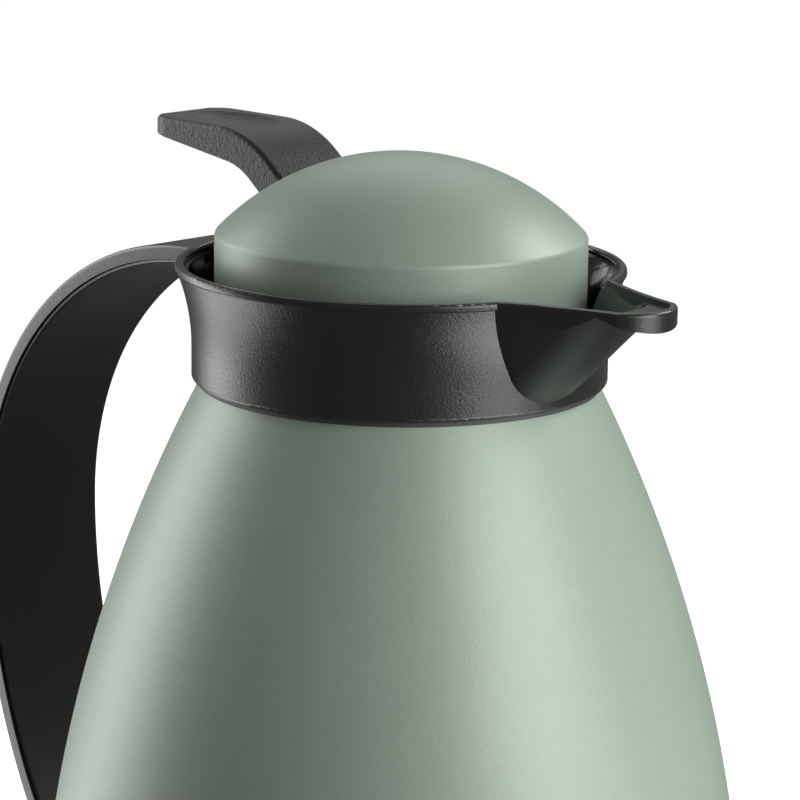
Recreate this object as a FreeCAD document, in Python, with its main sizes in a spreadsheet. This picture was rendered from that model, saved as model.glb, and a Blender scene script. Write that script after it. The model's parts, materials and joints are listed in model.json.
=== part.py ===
"""Thermal beverage server: a vacuum jug with a hinged lid, as separate solids in one frame.

Millimetres. Z is up, the jug's axis is Z and it stands on Z = 0. The spout points along +X and the handle
along -X.
"""
import FreeCAD, Part
import math
import os
import re
import Sketcher

Vector = FreeCAD.Vector

# Driving dimensions, grouped by the piece that each belongs to
SIZES = {
    # Body: two arcs in profile that meet at the widest ring
    "belly_radius": 73.5,
    "belly_height": 50.0,
    "shell_neck_radius": 40.13,
    "shell_base_radius": 60.6,
    "shell_wall": 1.4,
    "shell_bottom": 3.0,
    # Collar: a short cylinder that flares to the rim, with a bowl inside
    "rim_height": 212.0,
    "rim_flare": 3.3,
    "collar_depth": 23.5,
    "collar_step": 1.57,
    "collar_straight": 6.5,
    "collar_wall": 2.2,
    "collar_edge": 0.9,
    "lip_width": 1.9,
    "lip_depth": 1.6,
    "lip_round": 0.7,
    "lip_bead": 0.3,
    "bowl_depth": 19.0,
    "bowl_slope": 3.2,
    "floor_thickness": 2.0,
    "seat_width": 5.2,
    "spigot_length": 10.0,
    "spigot_wall": 1.9,
    "gasket_thickness": 1.0,
    "gasket_overhang": 0.1,
    # Spout: a steep scoop under a rounded lip that overhangs it
    "spout_sink": 3.2,
    "spout_length": 23.4,
    "spout_root_half": 18.8,
    "spout_lip_half": 8.6,
    "spout_lip_back": 4.6,
    "spout_flank_radius": 95.0,
    "spout_lip_height": 4.0,
    "spout_lip_run": 12.0,
    "spout_drop": 21.8,
    "spout_pitch": 43.5,
    "scoop_root_radius": 12.0,
    "scoop_tip_radius": 15.5,
    "scoop_root_lean": 24.0,
    "scoop_tip_lean": 27.0,
    "spout_wall": 2.2,
    "channel_back": 5.0,
    "lip_pool": 1.0,
    # Flask: round bottom, straight side, rounded shoulder and neck
    "flask_room": 14.1,
    "flask_straight": 32.0,
    "shoulder_radius": 70.0,
    "neck_room": 0.6,
    "neck_fillet": 14.0,
    "glass_wall": 1.6,
    "vacuum_gap": 2.8,
    "seal_thickness": 2.0,
    "seal_skirt": 6.0,
    "seal_skirt_wall": 1.6,
    # Base: bonded ring, screwed cap, cushion and foot
    "ring_height": 11.0,
    "ring_width": 6.6,
    "cap_lift": 1.0,
    "cap_thickness": 3.2,
    "cap_wall": 2.4,
    "cap_spigot": 8.0,
    "cap_edge": 1.0,
    "foot_inset": 11.6,
    "foot_width": 6.0,
    "foot_groove": 1.5,
    "cushion_radius": 24.0,
    "cushion_wall": 3.0,
    "cushion_bore": 8.0,
    "boss_height": 6.0,
    "slot_length": 30.0,
    "slot_width": 3.0,
    "slot_depth": 1.2,
    # Handle: a ribbon on two arcs, a shell outside and a cover inside
    "handle_stand": 40.8,
    "handle_stub": 2.55,
    "handle_drop": 1.3,
    "handle_width": 31.8,
    "handle_thickness": 3.9,
    "root_boss": 0.9,
    "handle_foot": 47.0,
    "handle_foot_stand": 3.2,
    "handle_edge": 0.8,
    "cover_thickness": 0.9,
    "cover_inset": 0.7,
    "cover_top_angle": 3.8,
    "cover_foot_gap": 3.4,
    "bracket_width": 24.0,
    "bracket_lift": 5.5,
    "bracket_height": 11.5,
    "bracket_screw_drop": 4.5,
    "bracket_screw_spacing": 14.0,
    "foot_screw_lift": 5.0,
    "foot_screw_length": 6.0,
    "top_screw_spacing": 23.6,
    "top_screw_pad": 0.0,
    # Lid: dome, carrier and stopper
    "lid_gap": 7.8,
    "lid_skirt_drop": 11.0,
    "lid_edge": 0.5,
    "dome_radius": 51.0,
    "dome_rise": 21.8,
    "dome_edge": 1.4,
    "lid_wall": 1.8,
    "lid_step": 1.2,
    "carrier_thickness": 2.5,
    "carrier_recess": 2.0,
    "plug_room": 0.8,
    "plug_taper": 2.2,
    "plug_depth": 8.5,
    "plug_edge": 0.8,
    "plug_wall": 1.8,
    "plug_flange_thickness": 2.0,
    "plug_ledge": 3.2,
    "plug_seal_thickness": 2.6,
    "foam_room": 2.4,
    # Thumb lever: a flat thumb rest that bends down into the back of the dome
    "lever_width": 20.6,
    "lever_overhang": 27.45,
    "lever_height": 23.5,
    "lever_bend_inset": 2.5,
    "lever_bend_radius": 24.0,
    "lever_under_set": 1.5,
    "lever_under_radius": 14.0,
    "lever_slope": 39.0,
    "lever_neck": 6.7,
    "lever_tip_thickness": 3.5,
    "lever_tip_round": 1.7,
    "lever_corner": 6.2,
    "lever_edge": 1.0,
    "lever_foot_set": 7.3,
    "lever_foot_length": 9.0,
    "dish_length": 26.0,
    "dish_width": 13.4,
    "dish_depth": 1.6,
    "dish_back": 16.2,
    "lever_screw_length": 9.0,
    "lever_screw_spacing": 9.0,
    # Hinge: pin, ears on the collar, knuckles on the carrier, spring between them
    "hinge_setback": 0.8,
    "hinge_drop": 3.6,
    "pin_radius": 1.25,
    "ear_radius": 3.0,
    "ear_width": 2.6,
    "knuckle_radius": 2.6,
    "knuckle_width": 2.6,
    "knuckle_reach": 7.5,
    "spring_half": 3.2,
    "spring_wire": 0.7,
    "spring_turns": 4.0,
    "spring_lid_leg": 6.0,
    "spring_wall_leg": 2.3,
    "hinge_side_gap": 0.4,
    "notch_margin": 1.6,
    "notch_rise": 2.2,
    # Screws
    "screw_radius": 1.3,
    "screw_head_radius": 2.5,
    "screw_head_height": 1.4,
    "screw_length": 9.0,
    "recess_length": 2.8,
    "recess_width": 0.7,
    "recess_depth": 0.8,
    # Clearances
    "fit": 0.15,
    "seat_gap": 0.3,
    "pin_clearance": 0.05,
    "screw_clearance": 0.05,
    "slot_clearance": 0.25,
}

# Sizes that follow from the driving dimensions
DERIVED = {
    "collar_bottom": "rim_height - collar_depth",
    "shell_top": "collar_bottom - gasket_thickness",
    "upper_rise": "shell_top - belly_height",
    "upper_waist": "belly_radius - shell_neck_radius",
    "upper_arc_radius": "(upper_rise ^ 2 + upper_waist ^ 2) / (2 * upper_waist)",
    "lower_fall": "belly_height - shell_bottom",
    "lower_waist": "belly_radius - shell_base_radius",
    "lower_arc_radius": "(lower_fall ^ 2 + lower_waist ^ 2) / (2 * lower_waist)",
    "upper_centre": "belly_radius - upper_arc_radius",
    "lower_centre": "belly_radius - lower_arc_radius",
    "shell_neck_inner":
        "upper_centre + sqrt((upper_arc_radius - shell_wall) ^ 2 - upper_rise ^ 2)",
    "collar_radius": "shell_neck_radius + collar_step",
    "rim_radius": "collar_radius + rim_flare",
    "flare_start": "collar_bottom + collar_straight",
    "flare_rise": "rim_height - lip_depth - flare_start",
    "flare_out": "rim_radius - lip_bead - collar_radius",
    "flare_radius": "(flare_rise ^ 2 + flare_out ^ 2) / (2 * flare_out)",
    "flare_centre": "collar_radius + flare_radius",
    "bowl_floor": "rim_height - bowl_depth",
    "bowl_edge": "bowl_floor + bowl_slope",
    "floor_under": "bowl_floor - floor_thickness",
    "mouth_height": "floor_under - seal_thickness",
    "spigot_radius": "shell_neck_inner - seat_gap",
    "spigot_bottom": "collar_bottom - spigot_length",
    "spout_root": "collar_radius - spout_sink",
    "spout_reach": "rim_radius + spout_length",
    "spout_slope": "tan(spout_pitch)",
    "spout_tip_radius": "(spout_lip_half ^ 2 + spout_lip_back ^ 2) / (2 * spout_lip_back)",
    "scoop_lift": "spout_wall * sqrt(1 + spout_slope ^ 2)",
    "scoop_top": "rim_height + spout_reach - collar_radius",
    "flask_radius": "belly_radius - shell_wall - flask_room",
    "neck_radius": "spigot_radius - spigot_wall - seal_skirt_wall - fit - neck_room",
    "flask_wall": "2 * glass_wall + vacuum_gap",
    "throat_radius": "neck_radius - flask_wall",
    "ring_bore": "shell_base_radius - ring_width",
    "foot_radius": "shell_base_radius - foot_inset",
    "cap_top": "cap_lift + cap_thickness",
    "boss_top": "cap_top + boss_height",
    "flask_floor": "boss_top + cushion_wall",
    "flask_centre": "flask_floor + flask_radius",
    "shoulder_height": "flask_centre + flask_straight",
    "shoulder_centre": "flask_radius - shoulder_radius",
    "shoulder_angle":
        "acos((neck_radius + neck_fillet - shoulder_centre) / (shoulder_radius + neck_fillet))",
    "neck_start": "shoulder_height + (shoulder_radius + neck_fillet) * sin(shoulder_angle)",
    "handle_reach": "belly_radius + handle_stand",
    "handle_upper_radius": "handle_reach - collar_radius - handle_stub",
    "handle_sweep": "handle_stand - handle_foot_stand",
    "handle_lower_radius": "((handle_mid - handle_foot) ^ 2 + handle_sweep ^ 2) / (2 * handle_sweep)",
    "handle_centre": "handle_upper_radius - handle_reach",
    "handle_mid": "rim_height - handle_drop - handle_upper_radius",
    "handle_low_centre": "handle_lower_radius - handle_reach",
    "bracket_bottom": "handle_foot + bracket_lift",
    "bracket_top": "bracket_bottom + bracket_height",
    "bracket_screw_height": "bracket_top - bracket_screw_drop",
    "foot_screw_angle":
        "asin((handle_mid - handle_foot - foot_screw_lift) / handle_lower_radius) / (1 deg)",
    "cover_foot_angle":
        "asin((handle_mid - bracket_top - cover_foot_gap) / handle_lower_radius) / (1 deg)",
    "top_screw_height": "rim_height - handle_drop - (handle_thickness + root_boss) / 2",
    "top_screw_seat":
        "top_screw_pad - sqrt((rim_radius - lip_width - collar_wall) ^ 2"
        " - (top_screw_spacing / 2 + screw_head_radius) ^ 2)",
    "bracket_screw_seat":
        "fit - sqrt(bracket_screw_wall ^ 2 - (bracket_screw_spacing / 2 + screw_head_radius) ^ 2)",
    "bracket_screw_wall":
        "upper_centre + sqrt((upper_arc_radius - shell_wall) ^ 2"
        " - (bracket_screw_height + screw_head_radius - belly_height) ^ 2)",
    "lid_radius": "rim_radius - lid_gap",
    "lid_bottom": "rim_height - lid_skirt_drop",
    "lid_inner": "lid_radius - lid_wall",
    "dome_top": "rim_height + dome_rise",
    "dome_centre": "dome_top - dome_radius",
    "edge_rise": "sqrt((dome_radius - dome_edge) ^ 2 - (lid_radius - dome_edge) ^ 2)",
    "edge_reach": "dome_radius / (dome_radius - dome_edge)",
    "carrier_bottom": "lid_bottom + carrier_recess",
    "carrier_top": "carrier_bottom + carrier_thickness",
    "flange_bottom": "bowl_floor + seat_gap + plug_seal_thickness + fit",
    "flange_top": "flange_bottom + plug_flange_thickness",
    "plug_bottom": "bowl_floor - plug_depth",
    "plug_top_radius": "throat_radius - plug_room",
    "plug_bottom_radius": "plug_top_radius - plug_taper",
    "plug_flange": "throat_radius + seat_width",
    "plug_neck_radius": "plug_flange - plug_ledge",
    "lever_tip": "lid_radius + lever_overhang",
    "lever_bend": "lid_radius - lever_bend_inset",
    "lever_under_bend": "lever_bend + lever_under_set",
    "lever_foot_back": "lever_bend - lever_foot_set",
    "lever_foot_front": "lever_foot_back - lever_foot_length",
    "dish_place": "lever_tip - dish_back",
    "lever_top": "rim_height + lever_height",
    "lever_under_height":
        "lever_top + (lever_under_bend - lever_bend) * tan(lever_slope) - lever_neck / cos(lever_slope)",
    "lever_under_angle":
        "atan((lever_top - lever_tip_thickness - lever_under_height) / (lever_tip - lever_under_bend))"
        " / (1 deg)",
    "lever_bend_run": "lever_bend_radius * tan(lever_slope / 2)",
    "lever_under_run": "lever_under_radius * tan((lever_slope - lever_under_angle) / 2)",
    "hinge_back": "lid_radius + hinge_setback",
    "hinge_height": "rim_height - hinge_drop",
    "knuckle_inner": "spring_half + hinge_side_gap",
    "knuckle_outer": "knuckle_inner + knuckle_width",
    "ear_inner": "knuckle_outer + hinge_side_gap",
    "ear_outer": "ear_inner + ear_width",
    "notch_half": "ear_outer + notch_margin",
    "notch_top": "hinge_height + ear_radius + notch_rise",
    "spring_radius": "pin_radius + spring_wire + fit",
    "spring_pitch": "(2 * spring_half - spring_wire) / spring_turns",
    "spring_start": "spring_wire / 2 - spring_half",
    "hole_radius": "screw_radius + screw_clearance",
}

doc = FreeCAD.newDocument("thermal_server")
dims = doc.addObject("Spreadsheet::Sheet", "dims")
for row, (alias, size) in enumerate(SIZES.items(), start=1):
    dims.set(f"A{row}", alias)
    dims.set(f"B{row}", str(size))
    dims.setAlias(f"B{row}", alias)
doc.recompute()

# Turns that lay a sketch or a cylinder along another axis
SIDE = (Vector(1, 0, 0), 90)
END = (Vector(1, 1, 1), 120)
ALONG_X = (Vector(0, 1, 0), 90)
ALONG_MINUS_X = (Vector(0, 1, 0), -90)
ALONG_Y = (Vector(1, 0, 0), -90)

NODES = {}


def bind(text):
    """Expression text in which each name is a cell of the sheet."""
    def cell(match):
        word = match.group()
        if word in SIZES:
            return "dims." + word
        if word in DERIVED:
            return "(" + bind(DERIVED[word]) + ")"
        return word
    return re.sub(r"[a-z_]+", cell, text)


def value(text):
    """Number that an expression gives now."""
    result = dims.evalExpression(bind(text))
    return float(getattr(result, "Value", result))


def set_size(feature, **sizes):
    """Bind a feature's properties to expressions."""
    for name, text in sizes.items():
        feature.setExpression(name, bind(text))


def place(feature, x="0", y="0", z="0", turn=None):
    """Bind a feature's place; turn is an (axis, degrees) pair."""
    if turn:
        feature.Placement = FreeCAD.Placement(Vector(), FreeCAD.Rotation(*turn))
    for axis, text in zip("xyz", (x, y, z)):
        feature.setExpression(f"Placement.Base.{axis}", bind(text))


def arc_between(start, end, radius):
    """Short arc from start to end, its centre on the left when the radius is positive."""
    chord = end - start
    height = math.sqrt(radius ** 2 - (chord.Length / 2) ** 2)
    left = Vector(-chord.y, chord.x, 0).normalize()
    centre = (start + end) / 2 + left * math.copysign(height, radius)
    first, last = (start, end) if radius > 0 else (end, start)
    angles = [math.atan2(p.y - centre.y, p.x - centre.x) for p in (first, last)]
    return Part.ArcOfCircle(Part.Circle(centre, Vector(0, 0, 1), abs(radius)), *angles)


def draw(sketch, corners):
    """Closed outline. A corner is (across, up), or (across, up, radius) where an arc arrives at it."""
    points = [Vector(value(c[0]), value(c[1]), 0) for c in corners]
    sides = []
    for i, corner in enumerate(corners):
        if len(corner) == 3:
            radius = value(corner[2])
            geometry = arc_between(points[i - 1], points[i], radius)
            ends = (1, 2) if radius > 0 else (2, 1)
        else:
            geometry = Part.LineSegment(points[i - 1], points[i])
            ends = (1, 2)
        sides.append((sketch.addGeometry(geometry), *ends))

    def hold(text, *constraint):
        index = sketch.addConstraint(Sketcher.Constraint(*constraint))
        sketch.setExpression(f"Constraints[{index}]", bind(text))

    for i, corner in enumerate(corners):
        side, _, end = sides[i]
        after, start, _ = sides[(i + 1) % len(sides)]
        sketch.addConstraint(Sketcher.Constraint("Coincident", side, end, after, start))
        for text, number, kind, axis in ((corner[0], points[i].x, "DistanceX", -2),
                                         (corner[1], points[i].y, "DistanceY", -1)):
            if text == "0":
                sketch.addConstraint(Sketcher.Constraint("PointOnObject", side, end, axis))
            else:
                hold(text, kind, -1, 1, side, end, number)
        if len(corner) == 3:
            text = corner[2].lstrip("-")
            hold(text, "Radius", side, value(text))


def backwards(chain):
    """The same run of corners walked from its last to its first."""
    result = []
    for i in reversed(range(len(chain))):
        arc = chain[i + 1][2:] if i + 1 < len(chain) else ()
        flipped = tuple(r[1:] if r.startswith("-") else "-" + r for r in arc)
        result.append((*chain[i][:2], *flipped))
    return result


def body_sketch(body, name, role):
    """Empty sketch on one of a body's own origin planes."""
    sketch = body.newObject("Sketcher::SketchObject", name)
    plane = next(f for f in body.Origin.OriginFeatures if f.Role == role)
    sketch.AttachmentSupport = [(plane, "")]
    sketch.MapMode = "FlatFace"
    return sketch


def turned(label, corners):
    """Body turned about Z from half its section, as (radius, height) corners."""
    body = doc.addObject("PartDesign::Body", label)
    sketch = body_sketch(body, label + "_section", "XZ_Plane")
    draw(sketch, corners)
    turn = body.newObject("PartDesign::Revolution", label + "_turn")
    turn.Profile = sketch
    turn.ReferenceAxis = (sketch, ["V_Axis"])
    turn.Angle = 360
    doc.recompute()
    return body


def pocket(body, corners, depth, height):
    """Pocket cut upwards into a body from a level sketch at a height."""
    before = body.Shape.Volume
    sketch = body_sketch(body, body.Label + "_recess", "XY_Plane")
    sketch.setExpression("AttachmentOffset.Base.z", bind(height))
    draw(sketch, corners)
    cut_away = body.newObject("PartDesign::Pocket", body.Label + "_pocket")
    cut_away.Profile = sketch
    cut_away.Reversed = True
    set_size(cut_away, Length=depth)
    doc.recompute()
    if body.Shape.Volume >= before:
        raise RuntimeError(f"{body.Label}: the pocket takes nothing away")
    return body


def free_sketch(name, corners, turn=None, **at):
    """Sketch outside any body, in the XY plane or turned to the side (XZ) or the end (YZ)."""
    sketch = doc.addObject("Sketcher::SketchObject", name)
    draw(sketch, corners)
    place(sketch, turn=turn, **at)
    return sketch


def prism(name, corners, length, turn=SIDE, both_ways=True, **at):
    """Outline extruded square to its plane."""
    solid = doc.addObject("Part::Extrusion", name)
    solid.Base = free_sketch(name + "_outline", corners, turn, **at)
    solid.DirMode = "Normal"
    solid.Solid = True
    solid.Symmetric = both_ways
    set_size(solid, LengthFwd=length)
    return solid


def loft(name, *sections):
    """Solid ruled from section to section."""
    solid = doc.addObject("Part::Loft", name)
    solid.Sections = sections
    solid.Solid = True
    solid.Ruled = True
    return solid


def box(name, length, width, height, x, y, z):
    """Box from its low corner."""
    solid = doc.addObject("Part::Box", name)
    set_size(solid, Length=length, Width=width, Height=height)
    place(solid, x, y, z)
    return solid


def rod(name, radius, length, x, y, z, turn=None):
    """Cylinder from the centre of its first face."""
    solid = doc.addObject("Part::Cylinder", name)
    set_size(solid, Radius=radius, Height=length)
    place(solid, x, y, z, turn)
    return solid


def fuse(name, *shapes):
    joined = doc.addObject("Part::MultiFuse", name)
    joined.Shapes = shapes
    joined.Refine = True
    return joined


def common(name, *shapes):
    shared = doc.addObject("Part::MultiCommon", name)
    shared.Shapes = shapes
    return shared


def cut(name, base, *tools):
    """Base less its tools, which have to take something away."""
    rest = doc.addObject("Part::Cut", name)
    rest.Base = base
    rest.Tool = tools[0] if len(tools) == 1 else fuse(name + "_tools", *tools)
    doc.recompute()
    if rest.Shape.Volume >= base.Shape.Volume:
        raise RuntimeError(f"{name}: the cut takes nothing away")
    return rest


def rounded(name, base, radius, chosen):
    """Base with the chosen edges rounded."""
    doc.recompute()
    result = doc.addObject("Part::Fillet", name)
    result.Base = base
    size = value(radius)
    result.Edges = [(i, size, size) for i, e in enumerate(base.Shape.Edges, start=1) if chosen(e)]
    doc.recompute()
    return result


def node(label, shape):
    """Name a finished sub-part."""
    shape.Label = label
    NODES[label] = shape
    return shape


def group(label, members):
    """Identical separate solids as one sub-part."""
    together = doc.addObject("Part::Compound", label)
    together.Links = members
    return node(label, together)


def both_sides(spacing):
    """Places on either side of the middle plane."""
    return f"{spacing} / 2", f"-{spacing} / 2"


def screw(name, length, x, y, z, turn):
    """Pan-head screw: the head's seat at the given place, the shank along the turned Z."""
    body = turned(name, [
        ("0", "-screw_head_height"),
        ("screw_head_radius * 0.7", "-screw_head_height"),
        ("screw_head_radius", "-screw_head_height / 2"),
        ("screw_head_radius", "0"),
        ("screw_radius", "0"),
        ("screw_radius", f"{length} - screw_radius"),
        ("screw_radius / 2", length),
        ("0", length),
    ])
    long, short = "recess_length / 2", "recess_width / 2"
    pocket(body, [
        (long, "-" + short), (long, short), (short, short), (short, long), ("-" + short, long),
        ("-" + short, short), ("-" + long, short), ("-" + long, "-" + short), ("-" + short, "-" + short),
        ("-" + short, "-" + long), (short, "-" + long), (short, "-" + short),
    ], "recess_depth", "-screw_head_height")
    place(body, x, y, z, turn)
    return body


def upper_radius(height, inset="0"):
    """Body radius at a height above the belly."""
    return f"upper_centre + sqrt((upper_arc_radius - ({inset})) ^ 2 - ({height} - belly_height) ^ 2)"


def lower_radius(height, inset="0"):
    """Body radius at a height below the belly."""
    return f"lower_centre + sqrt((lower_arc_radius - ({inset})) ^ 2 - (belly_height - ({height})) ^ 2)"


def body_side(inset):
    """The body's profile from its lower edge to its neck, set in from the outer face."""
    return [
        (lower_radius("shell_bottom", inset), "shell_bottom"),
        (f"belly_radius - ({inset})", "belly_height", f"(lower_arc_radius - ({inset}))"),
        (upper_radius("shell_top", inset), "shell_top", f"(upper_arc_radius - ({inset}))"),
    ]


def make_body_shell():
    shell = turned("shell_blank", body_side("0") + backwards(body_side("shell_wall")))
    holes = [
        rod(f"shell_hole_{i}", "hole_radius", "2 * screw_length", "screw_length - belly_radius", y,
            "bracket_screw_height", ALONG_MINUS_X)
        for i, y in enumerate(both_sides("bracket_screw_spacing"))
    ]
    node("body_shell", cut("shell_cut", shell, *holes))


def make_base():
    ring_top = "shell_bottom + ring_height"
    inset = "shell_wall + fit"
    node("base_ring", turned("ring_turned", [
        ("ring_bore", "shell_bottom"),
        (lower_radius("shell_bottom", inset), "shell_bottom"),
        (lower_radius(ring_top, inset), ring_top, f"(lower_arc_radius - ({inset}))"),
        ("ring_bore", ring_top),
    ]))

    seam = "shell_bottom - seat_gap"
    edge = lower_radius("shell_bottom")
    foot_in, foot_out = "foot_radius - foot_width / 2", "foot_radius + foot_width / 2"
    groove_top = "cap_lift + foot_groove"
    spigot = "ring_bore - fit"
    cap = turned("cap_turned", [
        ("0", "cap_lift"),
        (foot_in, "cap_lift"),
        (foot_in, groove_top),
        (foot_out, groove_top),
        (foot_out, "cap_lift"),
        (f"{edge} - cap_edge", "cap_lift"),
        (edge, f"{seam} - fit"),
        (edge, seam),
        (spigot, seam),
        (spigot, "cap_top + cap_spigot"),
        (f"{spigot} - cap_wall", "cap_top + cap_spigot"),
        (f"{spigot} - cap_wall", "cap_top"),
        ("cushion_radius", "cap_top"),
        ("cushion_radius", "boss_top"),
        ("cushion_radius - 2 * cap_wall", "boss_top"),
        ("cushion_radius - 2 * cap_wall", "cap_top"),
        ("0", "cap_top"),
    ])
    long, short = "slot_length / 2", "slot_width / 2"
    pocket(cap, [
        (long, "-" + short), (long, short), ("-" + long, short), ("-" + long, "-" + short),
    ], "slot_depth", "cap_lift")
    node("base_cap", cap)

    node("foot_ring", turned("foot_turned", [
        (f"{foot_in} + fit", "0"),
        (f"{foot_out} - fit", "0"),
        (f"{foot_out} - fit", groove_top),
        (f"{foot_in} + fit", groove_top),
    ]))

    def dish(radius):
        return f"flask_centre - sqrt((flask_radius + fit) ^ 2 - ({radius}) ^ 2)"
    node("flask_cushion", turned("cushion_turned", [
        ("cushion_bore", "boss_top"),
        ("cushion_radius", "boss_top"),
        ("cushion_radius", dish("cushion_radius")),
        ("cushion_bore", dish("cushion_bore"), "-(flask_radius + fit)"),
    ]))


def flask_side(inset, top):
    """The flask's profile from its lowest point to a height in the neck, set in from the outer face."""
    return [
        ("0", f"flask_floor + ({inset})"),
        (f"flask_radius - ({inset})", "flask_centre", f"(flask_radius - ({inset}))"),
        (f"flask_radius - ({inset})", "shoulder_height"),
        (f"shoulder_centre + (shoulder_radius - ({inset})) * cos(shoulder_angle)",
         f"shoulder_height + (shoulder_radius - ({inset})) * sin(shoulder_angle)",
         f"(shoulder_radius - ({inset}))"),
        (f"neck_radius - ({inset})", "neck_start", f"-(neck_fillet + ({inset}))"),
        (f"neck_radius - ({inset})", top),
    ]


def make_flask():
    gap_top = "mouth_height - 2 * glass_wall"
    node("vacuum_flask", turned(
        "flask_turned",
        flask_side("0", "mouth_height")
        + backwards(flask_side("flask_wall", "mouth_height"))
        + flask_side("flask_wall - glass_wall", gap_top)
        + backwards(flask_side("glass_wall", gap_top)),
    ))
    skirt_in = "neck_radius + fit"
    skirt_out = f"{skirt_in} + seal_skirt_wall"
    node("neck_seal", turned("neck_seal_turned", [
        ("throat_radius", "mouth_height"),
        (skirt_in, "mouth_height"),
        (skirt_in, "mouth_height - seal_skirt"),
        (skirt_out, "mouth_height - seal_skirt"),
        (skirt_out, "floor_under"),
        ("throat_radius", "floor_under"),
    ]))
    node("neck_gasket", turned("gasket_turned", [
        ("spigot_radius + fit", "shell_top"),
        ("shell_neck_radius + gasket_overhang", "shell_top"),
        ("shell_neck_radius + gasket_overhang", "collar_bottom"),
        ("spigot_radius + fit", "collar_bottom"),
    ]))


def collar_outside(name, grow):
    """The collar filled solid, its outer face grown by a clearance."""
    lip_bottom = "rim_height - lip_depth"
    return turned(name, [
        ("0", "spigot_bottom"),
        ("spigot_radius", "spigot_bottom"),
        ("spigot_radius", "collar_bottom"),
        (f"collar_radius - collar_edge + ({grow})", "collar_bottom"),
        (f"collar_radius + ({grow})", "collar_bottom + collar_edge", "collar_edge"),
        (f"collar_radius + ({grow})", "flare_start"),
        (f"rim_radius - lip_bead + ({grow})", lip_bottom, "-flare_radius"),
        (f"rim_radius + ({grow})", f"{lip_bottom} + lip_bead"),
        (f"rim_radius + ({grow})", "rim_height - lip_round"),
        (f"rim_radius - lip_round + ({grow})", "rim_height", "lip_round"),
        ("0", "rim_height"),
    ])


def collar_inside():
    """The collar's hollow: spigot bore, throat, bowl and lip."""
    def wall(height):
        return f"flare_centre - sqrt((flare_radius + collar_wall) ^ 2 - ({height} - flare_start) ^ 2)"
    below, above = "spigot_bottom - fit", "rim_height + fit"
    lip_bottom = "rim_height - lip_depth"
    lip_inner = "rim_radius - lip_width"
    return turned("collar_hollow", [
        ("0", below),
        ("spigot_radius - spigot_wall", below),
        ("spigot_radius - spigot_wall", "floor_under"),
        ("throat_radius", "floor_under"),
        ("throat_radius", "bowl_floor"),
        ("throat_radius + seat_width", "bowl_floor"),
        (wall("bowl_edge"), "bowl_edge"),
        (wall(lip_bottom), lip_bottom, "-(flare_radius + collar_wall)"),
        (lip_inner, lip_bottom),
        (lip_inner, "rim_height - lip_round"),
        (f"{lip_inner} + lip_round", "rim_height", "-lip_round"),
        (f"{lip_inner} + lip_round", above),
        ("0", above),
    ])


def scoop_section(name, x, bottom, radius, lean):
    """U-shaped section across the spout: a round bottom between leaning flanks."""
    out = f"({radius}) * cos({lean})"
    rise = f"{bottom} + ({radius}) * (1 - sin({lean}))"
    top_out = f"{out} + (scoop_top - ({rise})) * tan({lean})"
    return free_sketch(name, [
        (f"-({top_out})", "scoop_top"),
        (f"-({out})", rise),
        (out, rise, radius),
        (top_out, "scoop_top"),
    ], END, x=x)


def scoop(name, back, lift, inset):
    """The spout's tapering scoop, lifted and set in from its outer face, from behind its root."""
    root_bottom = f"rim_height - spout_drop - spout_slope * (collar_radius - spout_root + ({back}))"
    tip_bottom = "rim_height - spout_drop + spout_slope * (spout_reach - collar_radius)"
    return loft(
        name,
        scoop_section(name + "_root", f"spout_root - ({back})", f"{root_bottom} + ({lift})",
                      f"(scoop_root_radius - ({inset}))", "scoop_root_lean"),
        scoop_section(name + "_tip", "spout_reach", f"{tip_bottom} + ({lift})",
                      f"(scoop_tip_radius - ({inset}))", "scoop_tip_lean"),
    )


def spout_plan(name, back, inset, bottom, height):
    """The spout's outline from above, raised from a level."""
    root_half, lip_half = f"spout_root_half - ({inset})", f"spout_lip_half - ({inset})"
    lip_x = "spout_reach - spout_lip_back"
    tip_radius = f"(spout_tip_radius - ({inset}))"
    half = [("spout_root", f"-({root_half})"), (lip_x, f"-({lip_half})", "-spout_flank_radius")]
    other = [(lip_x, lip_half, tip_radius), ("spout_root", root_half, "-spout_flank_radius")]
    tail = [(f"spout_root - ({back})", root_half), (f"spout_root - ({back})", f"-({root_half})")]
    return prism(name, half + other + (tail if back != "0" else []), height, None, False, z=bottom)


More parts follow.
